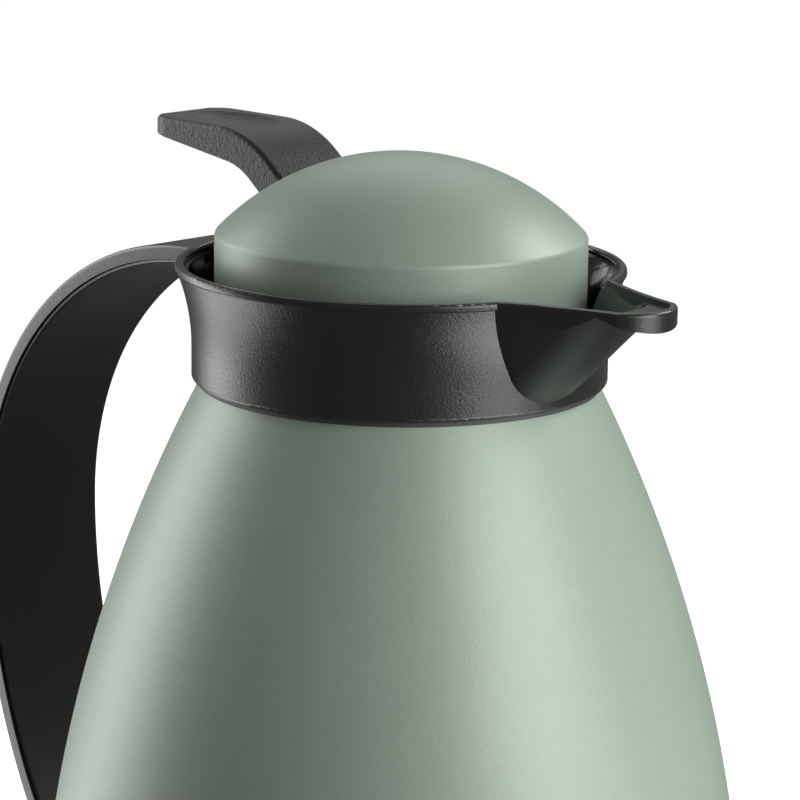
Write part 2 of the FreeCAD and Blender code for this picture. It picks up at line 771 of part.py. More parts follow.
def make_collar():
    outside = collar_outside("collar_solid", "0")
    hollow = collar_inside()

    def on_rim(edge):
        return all(abs(v.Point.z - value("rim_height")) < 1e-6 for v in edge.Vertexes)
    plan = rounded("spout_soft", spout_plan("spout_outer", "0", "0", "collar_bottom", "collar_depth"),
                   "lip_round", on_rim)
    lip = prism("lip_wedge", [
        ("spout_reach - spout_lip_run", "rim_height"),
        ("spout_reach", "rim_height - spout_lip_height"),
        ("spout_reach", "rim_height"),
    ], "2 * spout_root_half")
    spout = common("spout_solid", fuse("spout_whole", scoop("scoop_outer", "0", "0", "0"), lip), plan)
    channel = common("channel_solid", scoop("scoop_inner", "channel_back", "scoop_lift", "spout_wall"),
                     spout_plan("spout_inner", "channel_back", "lip_width", "bowl_edge", "bowl_depth"))
    pool = spout_plan("lip_inner", "channel_back", "lip_width", "rim_height - lip_pool", "bowl_depth")
    ring = cut("collar_ring", fuse("collar_with_spout", outside, spout), hollow, channel, pool)

    ear_top = "hinge_height + ear_radius"
    ear_low = "hinge_height - ear_radius"
    ears = cut("ear_pair", prism("ear_block", [
        ("-hinge_back", ear_low),
        ("-hinge_back + ear_radius", "hinge_height", "ear_radius"),
        ("-hinge_back", ear_top, "ear_radius"),
        ("-rim_radius", f"{ear_top} - lip_depth"),
        ("-rim_radius", "hinge_height - 3 * ear_radius"),
    ], "2 * ear_outer"), box("ear_gap", "rim_radius", "2 * ear_inner", "bowl_depth",
                             "-rim_radius", "-ear_inner", "bowl_floor"))
    pads = [
        rod(f"screw_pad_{i}", "screw_head_radius + seat_gap", "collar_wall * 3", "top_screw_seat", y,
            "top_screw_height", ALONG_MINUS_X)
        for i, y in enumerate(both_sides("top_screw_spacing"))
    ]
    fittings = common("collar_fittings", fuse("fittings_whole", ears, *pads), outside)
    pin_hole = rod("ear_bore", "pin_radius + pin_clearance", "4 * ear_outer", "-hinge_back", "-2 * ear_outer",
                   "hinge_height", ALONG_Y)
    screw_holes = [
        rod(f"top_screw_hole_{i}", "hole_radius", "2 * screw_length", "top_screw_seat", y, "top_screw_height",
            ALONG_MINUS_X)
        for i, y in enumerate(both_sides("top_screw_spacing"))
    ]
    node("collar", cut("collar_cut", fuse("collar_whole", ring, fittings), pin_hole, *screw_holes))


def handle_run(inset, top_angle, foot_angle):
    """The handle's curve from an angle on its upper arc to an angle on its lower arc, set in."""
    upper, lower = f"(handle_upper_radius - ({inset}))", f"(handle_lower_radius - ({inset}))"
    return [
        (f"handle_centre - {upper} * sin({top_angle})", f"handle_mid + {upper} * cos({top_angle})"),
        (f"({inset}) - handle_reach", "handle_mid", upper),
        (f"handle_low_centre - {lower} * cos({foot_angle})", f"handle_mid - {lower} * sin({foot_angle})",
         lower),
    ]


def make_handle():
    body_room = turned("body_room", [("0", "shell_bottom")] + body_side("-fit") + [("0", "shell_top")])
    collar_room = collar_outside("collar_room", "fit")
    shell_depth = "handle_thickness - cover_thickness"
    foot_angle = "asin((handle_mid - handle_foot) / handle_lower_radius)"
    root_x = "-lid_radius"
    outer = handle_run("0", "0", foot_angle)
    recess = handle_run(shell_depth, "cover_top_angle", "cover_foot_angle")
    inner = handle_run("handle_thickness", "cover_top_angle", "cover_foot_angle")
    boss = handle_run("handle_thickness + root_boss", "cover_top_angle", "cover_foot_angle")
    boss_radius = "(handle_upper_radius - handle_thickness - root_boss)"
    thick = "(handle_upper_radius - handle_thickness)"
    thick_low = "(handle_lower_radius - handle_thickness)"
    end_angle = f"asin((handle_mid - handle_foot) / {thick_low})"
    ribbon = prism("handle_ribbon", [
        (root_x, "rim_height - handle_drop"),
        *outer,
        (f"handle_low_centre - {thick_low} * cos({end_angle})", "handle_foot"),
        (inner[2][0], inner[2][1], f"-{thick_low}"),
        *backwards(recess),
        boss[0],
        ("handle_centre", f"handle_mid + {boss_radius}", f"-{boss_radius}"),
        (root_x, f"handle_mid + {boss_radius}"),
    ], "handle_width")
    trimmed = cut("handle_trimmed", ribbon, body_room, collar_room)

    def on_outer_rim(edge):
        at_side = all(abs(abs(v.Point.y) - value("handle_width / 2")) < 1e-6 for v in edge.Vertexes)
        radius = getattr(edge.Curve, "Radius", 0)
        return at_side and any(abs(radius - value(r)) < 1e-6
                               for r in ("handle_upper_radius", "handle_lower_radius"))
    softened = rounded("handle_rounded", trimmed, "handle_edge", on_outer_rim)

    top_holes = [
        rod(f"handle_hole_{i}", "hole_radius", "screw_length + 2 * seat_gap", "top_screw_seat", y,
            "top_screw_height", ALONG_MINUS_X)
        for i, y in enumerate(both_sides("top_screw_spacing"))
    ]
    foot_seat = foot_screw_place("screw_head_height + seat_gap")
    foot_start = foot_screw_place("0")
    slant = (Vector(0, 1, 0), 90 - value("foot_screw_angle"))
    sink = rod("foot_sink", "screw_head_radius + fit", "2 * (screw_head_height + seat_gap)",
               *foot_screw_place("-(screw_head_height + seat_gap)"), slant)
    foot_hole = rod("foot_hole", "hole_radius", "2 * foot_screw_length", *foot_start, slant)
    node("handle_shell", cut("handle_cut", softened, *top_holes, sink, foot_hole))

    gap = "fit / handle_upper_radius * 180 / pi"
    angles = (f"cover_top_angle + {gap}", f"cover_foot_angle - {gap}")
    cover_outer = handle_run(f"{shell_depth} + fit", *angles)
    cover_inner = handle_run("handle_thickness", *angles)
    cover = prism("cover_ribbon", cover_outer + backwards(cover_inner), "handle_width - 2 * cover_inset")

    def on_inner_rim(edge):
        radius = getattr(edge.Curve, "Radius", 0)
        return any(abs(radius - value(r)) < 1e-6 for r in (thick, thick_low))
    node("handle_cover", rounded("cover_rounded", cover, "cover_inset", on_inner_rim))

    reach = f"({thick_low} - fit)"

    def inside_arc(height):
        return f"handle_low_centre - sqrt({reach} ^ 2 - (handle_mid - {height}) ^ 2)"
    bracket = prism("bracket_block", [
        ("screw_length - belly_radius", "bracket_bottom"),
        ("screw_length - belly_radius", "bracket_top"),
        (inside_arc("bracket_top"), "bracket_top"),
        (inside_arc("bracket_bottom"), "bracket_bottom", reach),
    ], "bracket_width")
    bracket_holes = [
        rod(f"bracket_hole_{i}", "hole_radius", "screw_length + seat_gap", "bracket_screw_seat", y,
            "bracket_screw_height", ALONG_MINUS_X)
        for i, y in enumerate(both_sides("bracket_screw_spacing"))
    ]
    bracket_foot_hole = rod("bracket_foot_hole", "hole_radius", "foot_screw_length + seat_gap", *foot_seat, slant)
    node("handle_bracket", cut("bracket_cut", bracket, body_room, bracket_foot_hole, *bracket_holes))

    group("handle_top_screws", [
        screw(f"top_screw_{i}", "screw_length", "top_screw_seat", y, "top_screw_height", ALONG_MINUS_X)
        for i, y in enumerate(both_sides("top_screw_spacing"))
    ])
    group("bracket_screws", [
        screw(f"bracket_screw_{i}", "screw_length", "bracket_screw_seat", y, "bracket_screw_height",
              ALONG_MINUS_X)
        for i, y in enumerate(both_sides("bracket_screw_spacing"))
    ])
    node("handle_foot_screw", screw("foot_screw", "foot_screw_length", *foot_seat, slant))


def foot_screw_place(depth):
    """Point on the lower screw's axis, at a depth below the handle's outer face."""
    reach = f"(handle_lower_radius - ({depth}))"
    return (f"handle_low_centre - {reach} * cos(foot_screw_angle)", "0",
            f"handle_mid - {reach} * sin(foot_screw_angle)")


def lever_line(x, shift="0"):
    """Height of the lever's sloping neck at -x, shifted square to it."""
    return f"lever_top - (lever_bend - ({x})) * tan(lever_slope) + ({shift}) / cos(lever_slope)"


def make_lid():
    step = "carrier_top + fit"
    step_inner = "lid_inner - lid_step"
    ceiling = "(dome_radius - lid_wall)"
    dome = turned("dome_turned", [
        ("lid_inner", "lid_bottom"),
        ("lid_radius - lid_edge", "lid_bottom"),
        ("lid_radius", "lid_bottom + lid_edge"),
        ("lid_radius", "dome_centre + edge_rise"),
        ("(lid_radius - dome_edge) * edge_reach", "dome_centre + edge_rise * edge_reach", "dome_edge"),
        ("0", "dome_top", "dome_radius"),
        ("0", "dome_top - lid_wall"),
        (step_inner, f"dome_centre + sqrt({ceiling} ^ 2 - ({step_inner}) ^ 2)", f"-{ceiling}"),
        (step_inner, step),
        ("lid_inner", step),
    ])
    notch = box("hinge_notch", "lid_radius", "2 * notch_half", "notch_top - lid_bottom + fit",
                "-lid_radius - notch_margin", "-notch_half", "lid_bottom - fit")
    near, far = "lever_foot_front - lid_wall", "lever_bend + lid_wall"
    lower = "-lever_neck - slot_clearance"
    slot = prism("lever_slot", [
        (f"-({far})", lever_line(far, lower)),
        (f"-({near})", lever_line(near, lower)),
        (f"-({near})", lever_line(near, "slot_clearance")),
        (f"-({far})", lever_line(far, "slot_clearance")),
    ], "lever_width + 2 * slot_clearance")
    node("lid_dome", cut("dome_cut", dome, notch, slot))

    plate = turned("carrier_plate", [
        ("0", "carrier_bottom"),
        ("lid_inner - slot_clearance", "carrier_bottom"),
        ("lid_inner - slot_clearance", "carrier_top"),
        ("0", "carrier_top"),
    ])
    arm_end = "-hinge_back + knuckle_reach"
    arms = cut("knuckle_pair", prism("knuckle_block", [
        ("-hinge_back", "hinge_height + knuckle_radius"),
        ("-hinge_back - knuckle_radius", "hinge_height", "knuckle_radius"),
        ("-hinge_back", "hinge_height - knuckle_radius", "knuckle_radius"),
        (f"{arm_end} - knuckle_radius", "carrier_bottom"),
        (arm_end, "carrier_bottom"),
        (arm_end, "carrier_top + knuckle_radius"),
    ], "2 * knuckle_outer"), box("knuckle_gap", "2 * lid_radius", "2 * knuckle_inner", "bowl_depth",
                                 "-2 * lid_radius", "-knuckle_inner", "bowl_floor"))
    bore = rod("knuckle_bore", "pin_radius + pin_clearance", "4 * knuckle_outer", "-hinge_back",
               "-2 * knuckle_outer", "hinge_height", ALONG_Y)
    screw_x = "-(lever_foot_front + lever_foot_back) / 2"
    screw_places = both_sides("lever_screw_spacing")
    plate_holes = [rod(f"plate_hole_{i}", "hole_radius", "lever_screw_length", screw_x, y,
                       "carrier_bottom - fit") for i, y in enumerate(screw_places)]
    node("lid_carrier", cut("carrier_cut", fuse("carrier_whole", plate, arms), bore, *plate_holes))

    node("lid_plug", turned("plug_turned", [
        ("0", "plug_bottom"),
        ("plug_bottom_radius - plug_edge", "plug_bottom"),
        ("plug_bottom_radius", "plug_bottom + plug_edge"),
        ("plug_top_radius", "flange_bottom"),
        ("plug_flange", "flange_bottom"),
        ("plug_flange", "flange_top"),
        ("plug_neck_radius", "flange_top"),
        ("plug_neck_radius", "carrier_bottom"),
        ("plug_neck_radius - plug_wall", "carrier_bottom"),
        ("plug_neck_radius - plug_wall", "flange_top"),
        ("plug_top_radius - plug_wall", "flange_bottom"),
        ("plug_bottom_radius - plug_wall", "plug_bottom + plug_wall"),
        ("0", "plug_bottom + plug_wall"),
    ]))
    node("plug_insulation", turned("foam_turned", [
        ("0", "plug_bottom + plug_wall + fit"),
        ("plug_bottom_radius - plug_wall - fit", "plug_bottom + plug_wall + fit"),
        ("plug_top_radius - plug_wall - fit", "flange_bottom + fit"),
        ("plug_neck_radius - plug_wall - fit", "flange_top + fit"),
        ("plug_neck_radius - plug_wall - fit", "carrier_bottom - foam_room"),
        ("0", "carrier_bottom - foam_room"),
    ]))
    node("plug_seal", turned("plug_seal_turned", [
        ("plug_top_radius + fit", "bowl_floor + seat_gap"),
        ("plug_flange - fit", "bowl_floor + seat_gap"),
        ("plug_flange - fit", "flange_bottom - fit"),
        ("plug_top_radius + fit", "flange_bottom - fit"),
    ]))
    make_lever(screw_x, screw_places)


def make_lever(screw_x, screw_places):
    tip_low = "lever_top - lever_tip_thickness"
    profile = prism("lever_profile", [
        ("-lever_tip + lever_tip_round", tip_low, "lever_tip_round"),
        ("-lever_under_bend - lever_under_run * cos(lever_under_angle)",
         "lever_under_height + lever_under_run * sin(lever_under_angle)"),
        ("-lever_under_bend + lever_under_run * cos(lever_slope)",
         "lever_under_height - lever_under_run * sin(lever_slope)", "-lever_under_radius"),
        ("-lever_foot_back", lever_line("lever_foot_back", "-lever_neck")),
        ("-lever_foot_back", "carrier_top"),
        ("-lever_foot_front", "carrier_top"),
        ("-lever_foot_front", lever_line("lever_foot_front")),
        ("-lever_bend + lever_bend_run * cos(lever_slope)", "lever_top - lever_bend_run * sin(lever_slope)"),
        ("-lever_bend - lever_bend_run", "lever_top", "lever_bend_radius"),
        ("-lever_tip + lever_tip_round", "lever_top"),
        ("-lever_tip", "lever_top - lever_tip_round", "lever_tip_round"),
        ("-lever_tip", f"{tip_low} + lever_tip_round"),
    ], "lever_width")
    half = "lever_width / 2"
    plan = prism("lever_plan", [
        ("-lever_foot_front", f"-{half}"),
        ("-lever_foot_front", half),
        ("-lever_tip + lever_corner", half),
        ("-lever_tip", f"{half} - lever_corner", "lever_corner"),
        ("-lever_tip", f"lever_corner - {half}"),
        ("-lever_tip + lever_corner", f"-{half}", "lever_corner"),
    ], "lever_height + lid_skirt_drop", None, False, z="lid_bottom")
    def on_top_rim(edge):
        at_side = all(abs(abs(v.Point.y) - value(half)) < 1e-6 for v in edge.Vertexes)
        on_bend = abs(getattr(edge.Curve, "Radius", 0) - value("lever_bend_radius")) < 1e-6
        on_flat = all(abs(v.Point.z - value("lever_top")) < 1e-6 for v in edge.Vertexes)
        return at_side and (on_bend or on_flat)
    blank = rounded("lever_blank", common("lever_square", profile, plan), "lever_edge", on_top_rim)
    dish = doc.addObject("Part::Ellipsoid", "thumb_dish")
    spread = "sqrt(1 - 0.75 ^ 2)"
    set_size(dish, Radius1="4 * dish_depth", Radius2=f"dish_length / 2 / {spread}",
             Radius3=f"dish_width / 2 / {spread}")
    place(dish, "-dish_place", "0", "lever_top + 3 * dish_depth")
    holes = [rod(f"lever_hole_{i}", "hole_radius", "lever_screw_length", screw_x, y, "carrier_top - fit")
             for i, y in enumerate(screw_places)]
    node("thumb_lever", cut("lever_cut", blank, dish, *holes))
    group("lever_screws", [
        screw(f"lever_screw_{i}", "lever_screw_length", screw_x, y, "carrier_bottom", None)
        for i, y in enumerate(screw_places)
    ])


def make_hinge():
    node("hinge_pin", rod("pin_rod", "pin_radius", "2 * ear_outer", "-hinge_back", "-ear_outer",
                          "hinge_height", ALONG_Y))

    # The coil lies along the pin and starts at its lowest point; one leg rests on the lid's carrier and the
    # other on the collar's wall
    spring = doc.addObject("PartDesign::Body", "spring_body")

    def wire(name, role, x, y):
        sketch = body_sketch(spring, name, role)
        circle = sketch.addGeometry(Part.Circle(Vector(value(x), value(y), 0), Vector(0, 0, 1),
                                                value("spring_wire / 2")))
        for kind, text in (("DistanceX", x), ("DistanceY", y)):
            if text == "0":
                sketch.addConstraint(Sketcher.Constraint("PointOnObject", circle, 3, -1))
            else:
                index = sketch.addConstraint(Sketcher.Constraint(kind, -1, 1, circle, 3, value(text)))
                sketch.setExpression(f"Constraints[{index}]", bind(text))
        index = sketch.addConstraint(Sketcher.Constraint("Radius", circle, value("spring_wire / 2")))
        sketch.setExpression(f"Constraints[{index}]", bind("spring_wire / 2"))
        return sketch

    coil = spring.newObject("PartDesign::AdditiveHelix", "spring_coil")
    coil.Profile = wire("coil_wire", "YZ_Plane", "spring_radius", "0")
    coil.ReferenceAxis = (coil.Profile[0], ["V_Axis"])
    coil.Mode = "pitch-turns-angle"
    set_size(coil, Pitch="spring_pitch", Turns="spring_turns")
    doc.recompute()
    for name, height, length, back in (("lid_leg", "0", "spring_lid_leg", False),
                                       ("wall_leg", "spring_pitch * spring_turns", "spring_wall_leg", True)):
        leg = spring.newObject("PartDesign::Pad", name)
        leg.Profile = wire(name + "_wire", "YZ_Plane", "spring_radius", height)
        leg.Reversed = back
        set_size(leg, Length=length)
        doc.recompute()
    place(spring, "-hinge_back", "spring_start", "hinge_height", ALONG_Y)
    print("least gap between the spring's turns:", round(value("spring_pitch - spring_wire"), 3), "mm")
    node("hinge_spring", spring)


def write_nodes():
    """Check every object, then write each sub-part."""
    doc.recompute()
    failed = [o.Label for o in doc.Objects if {"Invalid", "Error"} & set(o.State)]
    if failed:
        raise RuntimeError(f"not built: {failed}")
    for label, shape in NODES.items():
        if shape.Shape.isNull() or not shape.Shape.isValid():
            raise RuntimeError(f"{label}: no valid shape")
    os.makedirs("parts", exist_ok=True)
    for label, shape in NODES.items():
        shape.Shape.exportStep(f"parts/{label}.step")
        print(f"{label}: {len(shape.Shape.Solids)} solid(s), {shape.Shape.Volume / 1000:.2f} cm3")


make_body_shell()
make_base()
make_flask()
make_collar()
make_handle()
make_lid()
make_hinge()
write_nodes()
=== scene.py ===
"""Thermal beverage server: smooth visible pieces, finishes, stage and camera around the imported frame."""
import json
import math

import bpy
from bpy.props import FloatProperty, FloatVectorProperty, IntProperty, PointerProperty
from mathutils import Matrix, Vector


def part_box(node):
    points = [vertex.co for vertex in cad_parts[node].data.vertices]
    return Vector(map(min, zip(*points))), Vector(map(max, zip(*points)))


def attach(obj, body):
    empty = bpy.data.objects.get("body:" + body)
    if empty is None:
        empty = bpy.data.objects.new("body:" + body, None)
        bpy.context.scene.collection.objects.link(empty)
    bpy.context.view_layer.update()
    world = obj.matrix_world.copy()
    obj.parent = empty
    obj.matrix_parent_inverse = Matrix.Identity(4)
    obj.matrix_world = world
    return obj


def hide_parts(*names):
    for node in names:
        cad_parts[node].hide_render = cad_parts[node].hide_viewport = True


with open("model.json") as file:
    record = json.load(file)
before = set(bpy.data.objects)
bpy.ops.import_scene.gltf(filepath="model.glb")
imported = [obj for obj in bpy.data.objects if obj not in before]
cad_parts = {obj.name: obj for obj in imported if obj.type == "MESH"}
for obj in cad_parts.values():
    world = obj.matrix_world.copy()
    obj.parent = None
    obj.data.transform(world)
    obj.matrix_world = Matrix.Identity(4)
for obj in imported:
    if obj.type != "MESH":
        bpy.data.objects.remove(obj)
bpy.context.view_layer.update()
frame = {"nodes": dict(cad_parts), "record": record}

bl_info = {
    "name": "Thermal Beverage Server",
    "version": (1, 0, 0),
    "blender": (4, 5, 0),
    "location": "3D View > Sidebar > Server",
    "description": "Dresses a vacuum jug with a hinged lid and sets it on a pale stage",
    "category": "Object",
}

# How finely the pieces are divided
BODY_LOWER_STEPS = 24
BODY_UPPER_STEPS = 56
LID_EDGE_STEPS = 8
DOME_STEPS = 40
HANDLE_ROOT_STEPS = 3
HANDLE_UPPER_STEPS = 80
HANDLE_LOWER_STEPS = 52
HANDLE_FOOT_STEPS = 14
ROUNDING_STEPS = 4
ROOM_SIDES = 256
SINK_SIDES = 48

# Tolerances: distances in metres, the crease angle, parts of a face's normal, and a share of the ribbon's depth
DOUBLES = 0.000002
NEAR = 0.00001
CREASE = math.radians(30)
SQUARE_ON = 0.99
EDGE_ON = 0.1
DEPTH_SLACK = 0.1

# The lever's slot, as shares of the lid's radius: its length, and its middle's distance from the bend
SLOT_LENGTH = 0.7
SLOT_MIDDLE = 0.25
# How far the handle's root is drawn inwards before the collar trims it, as a share of the root's distance
ROOT_RUN = 1 / 6

# Lacquer: size of its clouds, share of the speckle in its colour, spread of the colour, gloss and relief
LACQUER_CLOUD = 0.03
LACQUER_SPECKLE_SHARE = 0.75
LACQUER_SPREAD = 0.20
LACQUER_METALLIC = 0.15
LACQUER_ROUGH = (0.40, 0.50)
LACQUER_RELIEF = 0.6
LACQUER_DEPTH = 0.00005

# Black plastic: size of its clouds, share of the grain in its gloss, tone of pits and peaks, gloss and relief
PLASTIC_CLOUD = 0.02
PLASTIC_GRAIN_SHARE = 0.6
PLASTIC_PITS = 0.85
PLASTIC_PEAKS = 1.2
PLASTIC_ROUGH_SPREAD = 0.06
PLASTIC_GLOSS = 0.6
PLASTIC_DEPTH = 0.00012

# The collar's two finishes, and how far inwards a face looks where the polish starts
COLLAR_ROUGH = (0.28, 0.36)
COLLAR_RELIEF = 0.6
COLLAR_DEPTH = 0.00010
BOWL_ROUGH = 0.10
BOWL_FACING = -0.002

# Plain finishes: spread of colour and gloss, and depth of the grain
PLAIN_SPREAD = 0.08
PLAIN_ROUGH_BELOW = 0.05
PLAIN_ROUGH_ABOVE = 0.08
PLAIN_DEPTH = 0.00003

# Octaves of a fine grain
FINE = 3.0

# Floor and surround: size of the sheet, its colour, and the glow that fades towards the jug, which paints a
# shade round the jug's foot
WHITE = (1.0, 1.0, 1.0, 1.0)
FLOOR_SIZE = 30.0
PAPER = (0.6, 0.6, 0.6)
PAPER_ROUGH = 0.9
# The glow near the jug is dimmed: a painted shade round its foot, which fades out between the two distances
# below
PAINTED_SHADE_GLOW = (0.50, 0.50, 0.50)
GLOW_FAR = (0.90, 0.90, 0.90)
PAINTED_SHADE_START = 0.06
PAINTED_SHADE_END = 0.28
AIR_LIGHT = 0.16
PAPER_LIGHT = 1.0

# Softboxes: name, place, the point it looks at, width and height, watts
SOFTBOXES = (
    ("left_softbox", (-0.575, -0.23, 0.262), (0, 0, 0.165), (0.38, 0.50), 2.9),
    ("right_softbox", (0.625, 0.055, 0.38), (0, 0, 0.19), (0.46, 0.56), 4.9),
    ("right_rim_softbox", (0.17, 0.42, 0.56), (0, 0, 0.22), (0.2, 0.2), 1.6),
    ("left_rim_softbox", (-0.46, -0.08, 0.48), (0, 0, 0.22), (0.2, 0.2), 0.6),
    ("back_softbox", (-0.55, 0.57, 0.85), (0, 0, 0.2), (0.6, 0.6), 1.5),
    ("left_low_softbox", (-0.33, -0.15, 0.012), (-0.30, -0.136, 0.2), (0.3, 0.3), 0.9),
    ("right_low_softbox", (0.37, 0.09, 0.012), (0.34, 0.08, 0.2), (0.3, 0.34), 1.6),
)

# Camera, in millimetres and metres
SENSOR_WIDTH = 36.0
CLIP_START = 0.01


def length(name, description, default):
    """A size in metres."""
    return FloatProperty(name=name, description=description, default=default, subtype="DISTANCE", precision=5)


def angle(name, description, degrees):
    """An angle, given in degrees."""
    return FloatProperty(name=name, description=description, default=math.radians(degrees), subtype="ANGLE")


def tint(name, description, default):
    """A linear colour."""
    return FloatVectorProperty(name=name, description=description, default=default, size=3, subtype="COLOR",
                               min=0.0, max=1.0)


class ServerSizes(bpy.types.PropertyGroup):
    """Sizes of the pieces that are modelled here."""
    belly_radius: length("Belly radius", "Radius of the body's widest ring", 0.0735)
    belly_height: length("Belly height", "Height of the body's widest ring", 0.050)
    upper_arc: length("Upper arc", "Radius of the body's profile above the belly", 0.300)
    lower_arc: length("Lower arc", "Radius of the body's profile below the belly", 0.092)
    shell_wall: length("Shell wall", "Thickness of the body's wall", 0.0014)
    dome_radius: length("Dome radius", "Radius of the lid's sphere", 0.051)
    dome_edge: length("Dome edge", "Rounding between the lid's dome and skirt", 0.0014)
    lid_edge: length("Lid edge", "Bevel round the lid's lower edge", 0.0005)
    lid_wall: length("Lid wall", "Thickness of the lid's wall", 0.0018)
    notch_half: length("Notch half width", "Half the width of the lid's hinge notch", 0.0108)
    notch_top: length("Notch top", "Height of the hinge notch's upper edge", 0.2136)
    notch_margin: length("Notch margin", "How far the notch's cut starts outside the lid", 0.0016)
    lever_bend: length("Lever bend", "Distance from the axis to the lever's upper bend", 0.0347)
    lever_slope: angle("Lever slope", "Rise of the lever's neck", 39)
    lever_neck: length("Lever neck", "Thickness of the lever where it leaves the lid", 0.0067)
    slot_room: length("Slot room", "Gap round the lever in the lid's slot", 0.00025)
    handle_root: length("Handle root", "Distance from the axis to the handle's upper arc", 0.04425)
    handle_sweep: length("Handle sweep", "How far the handle's foot lies inside its widest point", 0.0376)
    handle_depth: length("Handle depth", "Thickness of the handle's outer ribbon", 0.0030)
    handle_edge: length("Handle edge", "Rounding of the outer ribbon's long edges", 0.0008)
    root_boss: length("Root boss", "How far the boss at the handle's root stands in from the ribbon", 0.0018)
    foot_boss: length("Foot boss", "How far the block at the handle's foot stands in from the ribbon", 0.0009)
    foot_screw_lift: length("Foot screw lift", "Height of the foot screw above the handle's end", 0.0050)
    sink_radius: length("Sink radius", "Radius of the foot screw's sink", 0.00265)
    sink_depth: length("Sink depth", "Depth of the foot screw's sink", 0.0017)
    flare_low: length("Flare below", "Radius that the handle's root is cut to, low on the collar", 0.04241)
    flare_high: length("Flare above", "Radius that the handle's root is cut to, at the collar's rim", 0.04534)
    flare_height: length("Flare height", "Height between those two radii", 0.0090)
    cover_start: angle("Cover start", "Where the inner cover starts on the upper arc", 3.8)
    cover_foot: length("Cover foot", "Gap between the inner cover's end and the bracket", 0.0034)
    cover_wall: length("Cover wall", "Thickness of the inner cover", 0.00075)
    cover_inset: length("Cover inset", "How far the cover's sides lie inside the ribbon's", 0.0007)
    cover_round: length("Cover rounding", "Rounding of the cover's long edges", 0.00065)
    seam: length("Seam", "Gap between pieces that are fitted together", 0.00015)
    segments: IntProperty(name="Segments", description="Sides of the turned pieces", default=160, min=16)


class ServerFinish(bpy.types.PropertyGroup):
    """Colours and grain of the finishes."""
    green: tint("Sage green", "Colour of the body and the lid", (0.238, 0.299, 0.242))
    black: tint("Black", "Colour of the collar, the handle and the lever", (0.0075, 0.0075, 0.008))
    grey: tint("Grey", "Colour of the gasket", (0.035, 0.036, 0.035))
    rubber: tint("Rubber", "Colour of the foot and the flask's cushion", (0.018, 0.018, 0.018))
    silicone: tint("Silicone", "Colour of the seals", (0.62, 0.62, 0.6))
    glass: tint("Silvered glass", "Colour of the flask", (0.78, 0.8, 0.82))
    foam: tint("Foam", "Colour of the stopper's filling", (0.62, 0.58, 0.47))
    steel: tint("Steel", "Colour of the pin, the spring and the screws", (0.56, 0.56, 0.57))
    grain: length("Grain", "Size of the black plastic's grain", 0.00045)
    speckle: length("Speckle", "Size of the lacquer's speckle", 0.00035)


class ServerStage(bpy.types.PropertyGroup):
    """Place and lens of the camera."""
    eye: FloatVectorProperty(name="Eye", description="Camera position", size=3, subtype="TRANSLATION",
                             default=(0.47604, -0.49377, 0.3387))
    azimuth: angle("Azimuth", "Turn of the view about the jug's axis", 43.938)
    pitch: angle("Pitch", "Downward tilt of the view", 12.73)
    roll: angle("Roll", "Roll of the view", 0.82)
    lens: FloatProperty(name="Lens", description="Focal length in millimetres", default=157.5, unit="CAMERA")


class Wire:
    """A value socket whose operators add Math nodes."""

    def __init__(self, nodes, socket):
        self.nodes = nodes
        self.socket = socket

    def _math(self, operation, *values):
        return self.nodes.add("ShaderNodeMath", {"operation": operation}, dict(enumerate(values)))

    def __add__(self, other):
        return self._math("ADD", self, other)

    def __sub__(self, other):
        return self._math("SUBTRACT", self, other)

    def __rsub__(self, other):
        return self._math("SUBTRACT", other, self)

    def __mul__(self, other):
        return self._math("MULTIPLY", self, other)

    def __lt__(self, other):
        return self._math("LESS_THAN", self, other)

    __radd__ = __add__
    __rmul__ = __mul__


class Nodes:
    """A node tree that is put together node by node."""

    def __init__(self, tree):
        self.tree = tree
        tree.nodes.clear()

    def add(self, kind, settings, inputs, output=0):
        """Adds a node: settings first, then values or links for its sockets."""
        node = self.tree.nodes.new(kind)
        for name, value in settings.items():
            setattr(node, name, value)
        for name, value in inputs.items():
            if isinstance(value, Wire):
                self.tree.links.new(value.socket, node.inputs[name])
            else:
                node.inputs[name].default_value = value
        return Wire(self, node.outputs[output])

    def close(self, kind, shader):
        """Links the shader to the tree's output node."""
        self.tree.links.new(shader.socket, self.tree.nodes.new(kind).inputs["Surface"])


class Finish(Nodes):
    """A material on the piece's own coordinates."""
    # Sockets of a Mix node that carry colours
    FIRST_COLOUR, SECOND_COLOUR, MIXED_COLOUR = 6, 7, 2

    def __init__(self, name):
        self.material = bpy.data.materials.new(name)
        self.material.use_nodes = True
        super().__init__(self.material.node_tree)
        self.place = self.add("ShaderNodeTexCoord", {}, {}, "Object")

    def noise(self, size, detail=2.0):
        """Cloudy value with blots of a size."""
        return self.add("ShaderNodeTexNoise", {},
                        {"Vector": self.place, "Scale": 1.0 / size, "Detail": detail})

    def between(self, factor, low, high):
        """Value between two numbers."""
        return self.add("ShaderNodeMapRange", {}, {"Value": factor, "To Min": low, "To Max": high})

    def blend(self, factor, first, second):
        """Colour between two colours."""
        inputs = {"Factor": factor, self.FIRST_COLOUR: (*first, 1.0), self.SECOND_COLOUR: (*second, 1.0)}
        return self.add("ShaderNodeMix", {"data_type": "RGBA"}, inputs, self.MIXED_COLOUR)

    def vector_math(self, operation, *values, output="Value"):
        """Vector Math node."""
        return self.add("ShaderNodeVectorMath", {"operation": operation}, dict(enumerate(values)), output)

    def bump(self, height, strength, depth):
        """Normal that is tilted by a relief."""
        return self.add("ShaderNodeBump", {}, {"Height": height, "Strength": strength, "Distance": depth})

    def surface(self, **inputs):
        """Closes the material with its shader; spaces in socket names are written as underscores."""
        sockets = {name.replace("_", " "): (*value, 1.0) if isinstance(value, tuple) else value
                   for name, value in inputs.items()}
        self.close("ShaderNodeOutputMaterial", self.add("ShaderNodeBsdfPrincipled", {}, sockets))
        return self.material


def shades(colour, dark, light):
    """Darker and lighter version of a colour."""
    return tuple(c * dark for c in colour), tuple(c * light for c in colour)


